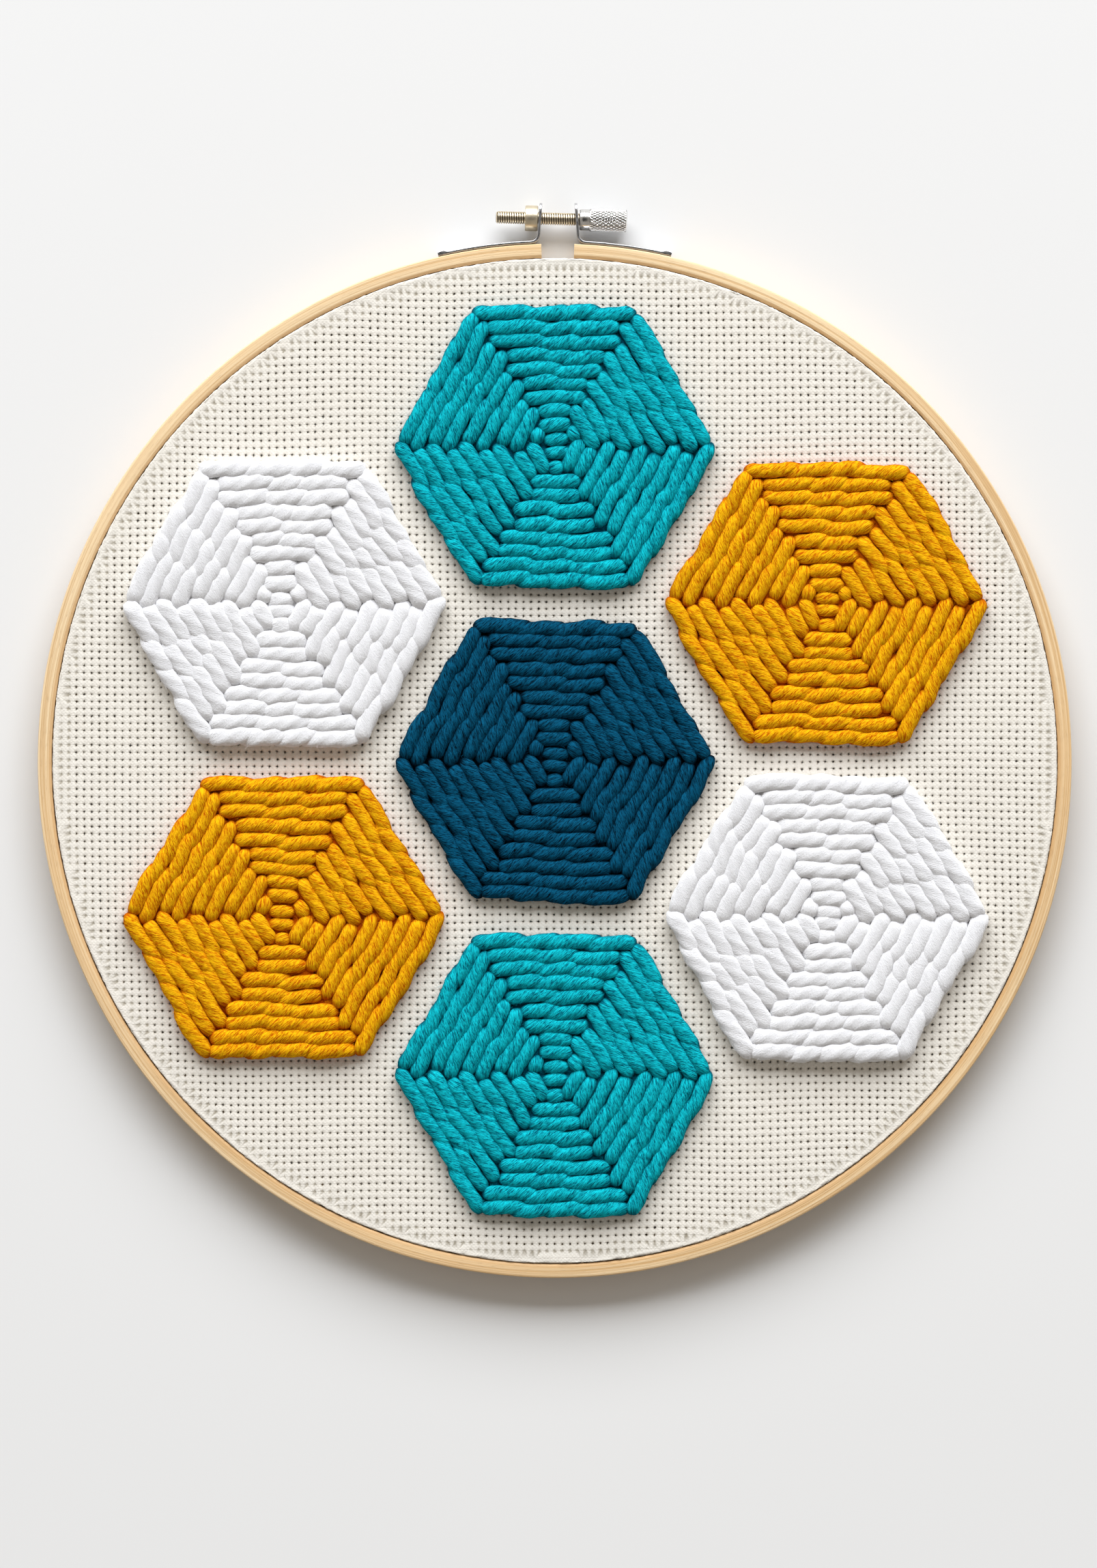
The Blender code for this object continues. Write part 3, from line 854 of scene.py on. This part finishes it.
def side_row(angle, out, over):
    """The stitches of one row along one side. Each one starts over the end of the one before it."""
    half = out * math.tan(math.pi / 6)
    before, start_changes = tip("start", over)
    after, end_changes = tip("end", over)
    count = max(1, round(2 * half / STITCH))
    length = (2 * half + before + after + (count - 1) * OVERLAP) / count
    joints = [
        place * (length - OVERLAP) + random.uniform(-JOINT_DRIFT, JOINT_DRIFT) - half - before
        for place in range(1, count)
    ]
    starts = [-half - before] + joints
    ends = [joint + OVERLAP for joint in joints] + [half + after]
    row = []
    for place, (start, end) in enumerate(zip(starts, ends)):
        changes = dict(start_changes) if place == 0 else {"start_shift": SLANT}
        changes.update(end_changes if place == count - 1 else {"end_shift": -SLANT})
        row.append(new_stitch(angle, out + random.normal(0, ROW_DRIFT), start, end, **changes))
    return row


def row_stitches():
    """Every stitch of one hexagon, row by row from the middle."""
    dives = {"start_dive": MIDDLE_DIVE, "end_dive": MIDDLE_DIVE}
    found = [
        new_stitch(math.radians(90), way * MIDDLE_OUT, -MIDDLE_HALF, MIDDLE_HALF, **dives) for way in (-1, 1)
    ]
    for row in range(1, ROWS):
        for side, angle in enumerate(side_angles()):
            found += side_row(angle, (row + 0.5) * ROW_PITCH, (row + side) % 2 == 0)
    return found


def padding_strands():
    """Low strands under the mitres and between the rows, so that no canvas shows between the stitches."""
    corner = HEXAGON_APOTHEM / math.cos(math.pi / 6)
    keys = ("start_taper", "end_taper", "start_dive", "end_dive")
    between_rows = {"top": 0.0, **{key: PADDING_TAPER for key in keys}}
    found = []
    for angle in side_angles():
        mitre = angle - math.radians(120)
        found.append(new_stitch(mitre, 0.0, 0.0, corner - MITRE_SHORT, top=MITRE_TOP, end_taper=MITRE_TAPER))
        for row in range(1, ROWS):
            out = row * ROW_PITCH
            half = out * math.tan(math.pi / 6) + PADDING_REACH
            found.append(new_stitch(angle, out, -half, half, **between_rows))
    return found


def column(stitches, key):
    return np.array([stitch[key] for stitch in stitches])[:, None]


def on_canvas(stitches, centre, out, along):
    """Places on the canvas, from how far out each stitch's row lies and how far along it they are."""
    angle = column(stitches, "angle")
    x = centre[0] + out * np.cos(angle) - along * np.sin(angle)
    y = centre[1] + out * np.sin(angle) + along * np.cos(angle)
    return x, y


def warped(x, y):
    return x + yarn_warp[0](x, y) * YARN_WARP, y + yarn_warp[1](x, y) * YARN_WARP


def rise(distance, length):
    """A quarter of an ellipse: 0 at the end of a stitch, and 1 from length on."""
    return np.sqrt(np.maximum(1 - (1 - np.clip(distance / length, 0, 1)) ** 2, 0))


def strand_paths(stitches, centre, count):
    """Middle lines of the stitches, which come up through the canvas, cross it and go down again."""
    share = (1 - np.cos(math.pi * np.arange(count) / (count - 1)))[None, :] / 2
    start, end = column(stitches, "start"), column(stitches, "end")
    shift = column(stitches, "start_shift") * (1 - share) + column(stitches, "end_shift") * share
    x, y = on_canvas(stitches, centre, column(stitches, "out") + shift, start + (end - start) * share)
    before, after = (end - start) * share, (end - start) * (1 - share)
    lifted = rise(before, column(stitches, "start_dive")) * rise(after, column(stitches, "end_dive"))
    full = rise(before, column(stitches, "start_taper")) * rise(after, column(stitches, "end_taper"))
    hump = HUMP * np.sin(math.pi * share) + JOINT_RISE * (0.5 - share) * (np.abs(shift) > 0)
    height = STRAND_FOOT + (column(stitches, "top") - STRAND_FOOT + hump) * lifted
    radius = column(stitches, "radius") * (THIN + (1 - THIN) * full)
    return x, y, height, radius


def strand_surface(stitches, centre, rings, sides, flatness):
    """The strands' points, grouped by stitch, and the fibre that each point lies on.

    A flatness of 1 is round, and less is flatter on top.
    """
    x, y, height, radius = strand_paths(stitches, centre, rings + 2)
    x, y = warped(x, y)
    height = height + yarn_warp[2](x, y) * YARN_SWELL * (height > 0)
    path = np.stack([HOOP.x + x, HOOP.y + y, CANVAS_FACE + height], axis=-1)
    tangent = unit(np.gradient(path, axis=1))
    heading = path[:, -1] - path[:, 0]
    left = unit(np.stack([-heading[:, 1], heading[:, 0], np.zeros(len(path))], axis=-1))[:, None, :]
    up = unit(np.cross(tangent, left))
    steps = np.linalg.norm(np.diff(path, axis=1), axis=-1)
    along = np.concatenate([np.zeros((len(path), 1)), np.cumsum(steps, axis=1)], axis=1)
    inner = along[:, 1:-1, None]
    offset = random.uniform(0, 1, (len(path), 1, 1))
    fixed = round_angles(sides)[None, None, :] + math.tau * offset
    turned = fixed - math.tau * inner / TWIST
    lobes = 1 + PLY_DEPTH * np.cos(PLIES * (fixed - math.tau * offset))
    rough = random.normal(1.0, 0.012, lobes.shape[:2] + (sides,)) if sides > PADDING_SIDES else 1.0
    reach = radius[:, 1:-1, None] * lobes * rough
    tall = np.sign(np.sin(turned)) * np.abs(np.sin(turned)) ** flatness
    points = tube_points(path, left, up, reach * np.cos(turned) * STRAND_WIDE, reach * tall * STRAND_TALL)
    far = np.broadcast_to(inner, turned.shape) + offset
    wound = turned + math.tau * inner / FIBRE_TWIST
    fibre = np.stack([STRAND_RADIUS * np.cos(wound), STRAND_RADIUS * np.sin(wound), far], axis=-1)
    tips = np.zeros((len(path), 2, 3))
    tips[:, :, 2] = offset[:, 0] + along[:, [0, -1]]
    return points, np.concatenate([fibre.reshape(len(path), -1, 3), tips], axis=1)


def fuzz_strips(points, fibres):
    """Loose fibre ends that leave the strands along their twist, each a strip with a tapered tip."""
    count = FUZZ_PER_HEXAGON
    shell = points[:, :-2].reshape(len(points), STRAND_RINGS, STRAND_SIDES, 3)
    stitch = random.integers(0, len(points), count)
    ring = random.integers(1, STRAND_RINGS - 1, count)
    side = random.integers(0, STRAND_SIDES, count)
    root = shell[stitch, ring, side]
    out = unit(root - shell[stitch, ring].mean(axis=1))
    forward = unit(shell[stitch, ring + 1, side] - shell[stitch, ring - 1, side])
    keep = out[:, 2] > FUZZ_LOWEST
    root, out, forward, stitch, ring, side = (part[keep] for part in (root, out, forward, stitch, ring, side))
    count = len(root)
    way = random.choice([-1.0, 1.0], (count, 1))
    lift = random.uniform(0.15, 0.9, (count, 1))
    first = unit(forward * way + out * lift + random.normal(0, 0.35, (count, 3)))
    second = unit(first + out * random.uniform(-0.5, 0.4, (count, 1)) + random.normal(0, 0.4, (count, 3)))
    length = random.gamma(3.0, FUZZ_GROWTH, (count, 1)) + FUZZ_SHORTEST
    across = unit(np.cross(first, random.normal(0, 1, (count, 3)))) * FUZZ_HALF_WIDTH
    bend = root + first * length * 0.5
    end = bend + second * length * 0.5
    root = root - first * FUZZ_ROOT
    corners = [root - across, root + across, bend + across * 0.75, bend - across * 0.75, end]
    block = len(corners) * np.arange(count)[:, None]
    faces = [block + np.array([0, 1, 2, 3]), block + np.array([3, 2, 4])]
    fibre = np.repeat(fibres[stitch, ring * STRAND_SIDES + side][:, None, :], len(corners), axis=1)
    return np.stack(corners, axis=1).reshape(-1, 3), faces, fibre.reshape(-1, 3)


def run_ends(stitches, centre):
    """Where each run behind the canvas starts and ends, and its direction."""
    ends = []
    for key in ("end", "start"):
        out = column(stitches, "out") + column(stitches, key + "_shift")
        ends.append(np.concatenate(on_canvas(stitches, centre, out, column(stitches, key)), axis=1))
    first, last = ends[0][:-1], ends[1][1:]
    gap = np.linalg.norm(last - first, axis=1)
    chosen = (gap > RUN_SHORTEST) & (gap < RUN_LONGEST)
    first, last = first[chosen], last[chosen]
    way = unit(last - first)
    return first - way * RUN_END, last + way * RUN_END, way


def back_runs(stitches, centre):
    """Short lengths of yarn behind the canvas, from where each stitch ends to where the next one starts."""
    first, last, way = run_ends(stitches, centre)
    share = np.linspace(0, 1, RUN_RINGS + 2)[None, :]
    x, y = warped(*(first[:, axis:axis + 1] + (last - first)[:, axis:axis + 1] * share for axis in (0, 1)))
    height = -RUN_DEPTH - RUN_SAG * np.sin(math.pi * share)
    path = np.stack([HOOP.x + x, HOOP.y + y, CANVAS_FACE + np.broadcast_to(height, x.shape)], axis=-1)
    tangent = unit(np.gradient(path, axis=1))
    left = np.concatenate([-way[:, 1:], way[:, :1], np.zeros((len(way), 1))], axis=1)[:, None, :]
    up = unit(np.cross(tangent, left))
    angle = round_angles(RUN_SIDES)[None, None, :]
    radius = RUN_RADIUS * (0.55 + 0.45 * np.sin(math.pi * share))[:, 1:-1, None]
    points = tube_points(path, left, up, radius * np.cos(angle) * 1.25, radius * np.sin(angle) * 0.8)
    along = np.linalg.norm(path - path[:, :1], axis=-1)
    offset = random.uniform(0, 1, (len(path), 1))
    parts = np.broadcast_arrays(
        RUN_RADIUS * np.cos(angle), RUN_RADIUS * np.sin(angle), (along[:, 1:-1] + offset)[..., None]
    )
    fibre = np.stack(parts, axis=-1).reshape(len(path), -1, 3)
    tips = np.zeros((len(path), 2, 3))
    tips[:, :, 2] = offset
    return points.reshape(-1, 3), np.concatenate([fibre, tips], axis=1).reshape(-1, 3), len(path)


def yarn_hexagon(name, node, centre, slot):
    """One hexagon: its stitches on their padding, their loose fibres, and the runs behind the canvas."""
    stitches = row_stitches()
    flatness = STRAND_FLATNESS
    if slot == "yarn_white":
        flatness = WHITE_FLATNESS
        for stitch in stitches:
            stitch["radius"] *= WHITE_PLUMPNESS
    high, high_fibres = strand_surface(stitches, centre, STRAND_RINGS, STRAND_SIDES, flatness)
    low, low_fibres = strand_surface(padding_strands(), centre, PADDING_RINGS, PADDING_SIDES, flatness)
    points = np.concatenate([high.reshape(-1, 3), low.reshape(-1, 3)])
    fibres = np.concatenate([high_fibres.reshape(-1, 3), low_fibres.reshape(-1, 3)])
    faces = tube_faces(len(high), STRAND_RINGS, STRAND_SIDES)
    faces += [part + high.size // 3 for part in tube_faces(len(low), PADDING_RINGS, PADDING_SIDES)]
    # Painted shade in the creases, from how low each point lies over the canvas
    crease_with_painted_shade = np.interp(points[:, 2] - CANVAS_FACE, [CREASE_SHADE_FOOT, CREASE_SHADE_TOP], [1, 0])
    add_piece(name, points, faces, slot, node, {"fibre": fibres, "crease_with_painted_shade": first_part(crease_with_painted_shade, len(points))})
    strips, faces, fibres = fuzz_strips(high, high_fibres)
    add_piece(name + "_fuzz", strips, faces, slot, None, {"fibre": fibres})
    points, fibres, runs = back_runs(stitches, centre)
    add_piece(name + "_back", points, tube_faces(runs, RUN_RINGS, RUN_SIDES), slot, None, {"fibre": fibres})


def yarn_hexagons():
    slots = {row["node"]: row["material_slot"] for row in frame["record"]["subparts"]}
    names = ("middle", "top", "upper_right", "lower_right", "bottom", "lower_left", "upper_left")
    for name, centre in zip(names, hexagon_centres()):
        yarn_hexagon("stitches_" + name, "yarn_" + name, centre, slots["yarn_" + name])


# Hardware

def strap_path(ear, top):
    """The strap's middle line from its lip to its ear: point, direction to the ring, extra thickness."""
    radius = OUTER_RADIUS + STRAP_GAP + STRAP_THICKNESS / 2
    reach = ear + BEND_RADIUS * math.cos(EAR_LEAN)
    bend_angle = math.asin(reach / (radius + BEND_RADIUS))
    bend_y = (radius + BEND_RADIUS) * math.cos(bend_angle)
    tip_angle = math.asin(STRAP_REACH / radius)
    lip_angle = tip_angle - LIP_LENGTH / radius
    path = []
    for step in range(LIP_STEPS + 1):
        share = step / LIP_STEPS
        extra = LIP_HEIGHT * (0.6 + 0.4 * math.sin(math.pi / 2 * share))
        path.append((tip_angle + (lip_angle - tip_angle) * share, extra))
    for step in range(1, STRAP_STEPS + 1):
        angle = lip_angle + (bend_angle - lip_angle) * step / STRAP_STEPS
        path.append((angle, LIP_HEIGHT * 0.25 if step == 1 else 0.0))
    rows = []
    for angle, extra in path:
        out = (math.sin(angle), math.cos(angle))
        rows.append((radius * out[0], radius * out[1], -out[0], -out[1], extra))
    first, last = 1.5 * math.pi - bend_angle, math.pi + EAR_LEAN
    for step in range(1, BEND_STEPS + 1):
        angle = first + (last - first) * step / BEND_STEPS
        away = (math.cos(angle), math.sin(angle))
        rows.append((reach + BEND_RADIUS * away[0], bend_y + BEND_RADIUS * away[1], *away, 0.0))
    foot_x, foot_y, *away, _ = rows[-1]
    for step in range(1, EAR_STEPS + 1):
        climb = (top - foot_y) * math.sin(math.pi / 2 * step / EAR_STEPS)
        rows.append((foot_x - climb * math.tan(EAR_LEAN), foot_y + climb, *away, 0.0))
    return np.array(rows)


def strap(name, node, side, ear):
    """A bent strip with eased edges, an ear with a round end and a hole for the screw."""
    low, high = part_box(node)
    top = high.y - HOOP.y
    middle_z = (low.z + high.z) / 2
    rows = strap_path(ear, top)
    to_top = np.hypot(rows[:, 0] - rows[-1, 0], rows[:, 1] - rows[-1, 1])
    rounded = np.clip(1 - to_top / EAR_ROUNDING, 0, 1)
    rounded[: len(rows) // 2] = 0
    half_width = STRAP_WIDTH / 2 - EAR_ROUNDING * (1 - np.sqrt(np.maximum(1 - rounded**2, 0)))
    section = []
    for sign_a, sign_z, first in ((1, 1, 0), (-1, 1, 90), (-1, -1, 180), (1, -1, 270)):
        for step in range(EDGE_STEPS + 1):
            angle = math.radians(first + 90 * step / EDGE_STEPS)
            section.append((sign_a, sign_z, math.cos(angle), math.sin(angle)))
    section = np.array(section)
    half = STRAP_THICKNESS / 2
    thick = half - EDGE_ROUNDING + np.where(section[None, :, 0] < 0, rows[:, 4:5], 0.0)
    away = section[None, :, 0] * thick + EDGE_ROUNDING * section[None, :, 2]
    depth = section[None, :, 1] * (half_width[:, None] - EDGE_ROUNDING) + EDGE_ROUNDING * section[None, :, 3]
    x = side * (rows[:, 0:1] + rows[:, 2:3] * away)
    y = rows[:, 1:2] + rows[:, 3:4] * away
    points = np.stack([HOOP.x + x, HOOP.y + y, middle_z + depth], axis=-1)
    columns = len(section)
    faces = grid_faces(len(rows), columns, False, True)
    ends = np.stack([np.arange(columns)[::-1], (len(rows) - 1) * columns + np.arange(columns)])
    if side > 0:
        faces, ends = faces[:, ::-1], ends[:, ::-1]
    piece = add_piece(name, points.reshape(-1, 3), [faces, ends], "steel", node)
    cut_hole(piece)
    piece.data.set_sharp_from_angle(angle=math.radians(50))
    return piece


def cut_hole(piece):
    """Takes the screw's hole out of an ear."""
    centre, direction = screw_line()
    radius = ROD_DIAMETER / 2 + EAR_HOLE_EASE
    bm = bmesh.new()
    bmesh.ops.create_cone(
        bm, cap_ends=True, segments=EAR_HOLE_SIDES, radius1=radius, radius2=radius, depth=CUTTER_LENGTH
    )
    mesh = bpy.data.meshes.new("hole")
    bm.to_mesh(mesh)
    bm.free()
    cutter = bpy.data.objects.new("hole", mesh)
    cutter.location = centre
    cutter.rotation_euler = direction.to_track_quat("Z", "Y").to_euler()
    bpy.context.scene.collection.objects.link(cutter)
    modifier = piece.modifiers.new("hole", "BOOLEAN")
    modifier.operation = "DIFFERENCE"
    modifier.object = cutter
    bpy.context.view_layer.update()
    graph = bpy.context.evaluated_depsgraph_get()
    holed = bpy.data.meshes.new_from_object(piece.evaluated_get(graph))
    piece.modifiers.clear()
    piece.data = holed
    bpy.data.objects.remove(cutter)


def screw_line():
    """A point between the ears on the screw's axis, and the axis from the nut to the head."""
    rod_low, rod_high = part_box("screw_rod")
    middle = (rod_low + rod_high) / 2
    return middle, Vector((math.cos(SCREW_TILT), -math.sin(SCREW_TILT), 0))


def on_screw(node, along, radius, angle):
    """Points round the screw's axis. along is measured from the middle of the node's solid."""
    low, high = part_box(node)
    middle = (low + high) / 2
    _, axis = screw_line()
    across = Vector((-axis.y, axis.x, 0))
    upward = Vector((0, 0, 1))
    along, radius, angle = np.broadcast_arrays(along, radius, angle)
    return (
        np.array(middle)
        + along[..., None] * np.array(axis)
        + (radius * np.cos(angle))[..., None] * np.array(across)
        + (radius * np.sin(angle))[..., None] * np.array(upward)
    )


def on_screw_piece(name, node, slot, rows, sides, groove, sharp):
    """A closed piece round the screw's axis, from rows of places along it and a radius at each point."""
    along, radius = rows
    points = on_screw(node, along, radius, round_angles(sides)[None, :]).reshape(-1, 3)
    ends = np.stack([points[:sides].mean(axis=0), points[-sides:].mean(axis=0)])
    points = np.concatenate([points, ends])
    # Painted shade follows the depth of the grooves
    vectors = {"painted_groove_shade": first_part(groove, len(points))}
    piece = add_piece(name, points, tube_faces(1, len(radius), sides), slot, node, vectors)
    piece.data.set_sharp_from_angle(angle=math.radians(sharp))


def threaded_rod():
    """A rod with a real helical thread, and a chamfer at its free end."""
    low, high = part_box("screw_rod")
    length = (high.x - low.x - ROD_DIAMETER * math.sin(SCREW_TILT)) / math.cos(SCREW_TILT)
    turns = range(-1, int(length / THREAD_PITCH) + 2)
    start = np.array([turn + share for turn in turns for share, _ in THREAD_SECTION])[:, None] * THREAD_PITCH
    deep = np.array([depth for _ in turns for _, depth in THREAD_SECTION])[:, None]
    along = np.clip(start + THREAD_PITCH * round_angles(ROD_SIDES)[None, :] / math.tau, 0, length)
    crest = ROD_DIAMETER / 2
    ends = np.minimum(along, length - along)
    radius = np.minimum(crest - THREAD_DEPTH * deep, crest - THREAD_DEPTH * ROD_CHAMFER + ends * 1.1)
    groove = np.broadcast_to(deep, along.shape)
    on_screw_piece("thread", "screw_rod", "brass", (along - length / 2, radius), ROD_SIDES, groove, 38)


def knurled_head():
    """The head: a smooth collar, then crossed grooves that leave small raised diamonds."""
    radius = HEAD_DIAMETER / 2
    collar = COLLAR_DIAMETER / 2
    rows = [
        (-COLLAR_SEAT, collar - 0.45 * MM, 0.0),
        (-COLLAR_SEAT, collar - COLLAR_EASE, 0.0),
        (COLLAR_EASE - COLLAR_SEAT, collar, 0.0),
        (1.0 * MM, collar, 0.0),
        (COLLAR_LENGTH - COLLAR_EASE, collar, 0.0),
        (COLLAR_LENGTH - 0.05 * MM, collar - 0.12 * MM, 0.0),
    ]
    knurled = HEAD_LENGTH - HEAD_CHAMFER - COLLAR_LENGTH
    steps = int((HEAD_LENGTH - COLLAR_LENGTH) / KNURL_LENGTH * 10)
    for step in range(steps + 1):
        fade = min(1.0, step / 4, (steps - step) / 4 + 0.3)
        rows.append((COLLAR_LENGTH + knurled * step / steps, radius, KNURL_DEPTH * fade))
    rows.append((HEAD_LENGTH, radius - 0.35 * MM, 0.0))
    rows.append((HEAD_LENGTH, radius - 2 * HEAD_CHAMFER, 0.0))
    along, radius, depth = (part[:, None] for part in np.array(rows).T)
    across = KNURL_AROUND * round_angles(KNURL_SIDES)[None, :] / 2
    climb = math.pi * along / KNURL_LENGTH
    near = np.minimum(np.abs(np.sin(across + climb)), np.abs(np.sin(across - climb)))
    groove = np.clip(1 - near / KNURL_GROOVE, 0, 1)
    shape = (along - HEAD_LENGTH / 2, radius - depth * groove)
    on_screw_piece("head", "knurled_head", "nickel", shape, KNURL_SIDES, groove * (depth > 0), 45)


def round_nut():
    """A plain round nut with eased edges, and a countersunk hole round the rod."""
    outer = NUT_DIAMETER / 2
    bore = ROD_DIAMETER / 2 + THREAD_CLEARANCE
    face = bore + COUNTERSINK
    far = NUT_LENGTH / 2
    near = far + NUT_SEAT
    ease = NUT_EASE
    profile = [(-far + COUNTERSINK, bore), (-far, face), (-far, outer - ease)]
    profile += [(-far + ease * 0.3, outer - ease * 0.3), (-far + ease, outer), (0.0, outer + NUT_CROWN)]
    profile += [(near - ease, outer), (near - ease * 0.3, outer - ease * 0.3), (near, outer - ease)]
    profile += [(near, face), (near - COUNTERSINK, bore), (0.0, bore)]
    rows = np.array(profile)
    points = on_screw("round_nut", rows[:, :1], rows[:, 1:], round_angles(NUT_SIDES)[None, :]).reshape(-1, 3)
    faces = [grid_faces(len(rows), NUT_SIDES, True, True)]
    piece = add_piece("nut", points, faces, "brass", "round_nut")
    piece.data.set_sharp_from_angle(angle=math.radians(40))


def hardware():
    strap("strap_left", "bracket_left", -1, EAR_LEFT)
    strap("strap_right", "bracket_right", 1, EAR_RIGHT)
    threaded_rod()
    knurled_head()
    round_nut()


add_camera()
add_room()
materials = make_materials()
canvas_warp = (ripple(50 * MM, 160 * MM), ripple(50 * MM, 160 * MM))
yarn_warp = (ripple(14 * MM, 70 * MM), ripple(14 * MM, 70 * MM), ripple(12 * MM, 50 * MM))
wooden_rings()
canvas_sheet()
yarn_hexagons()
hardware()
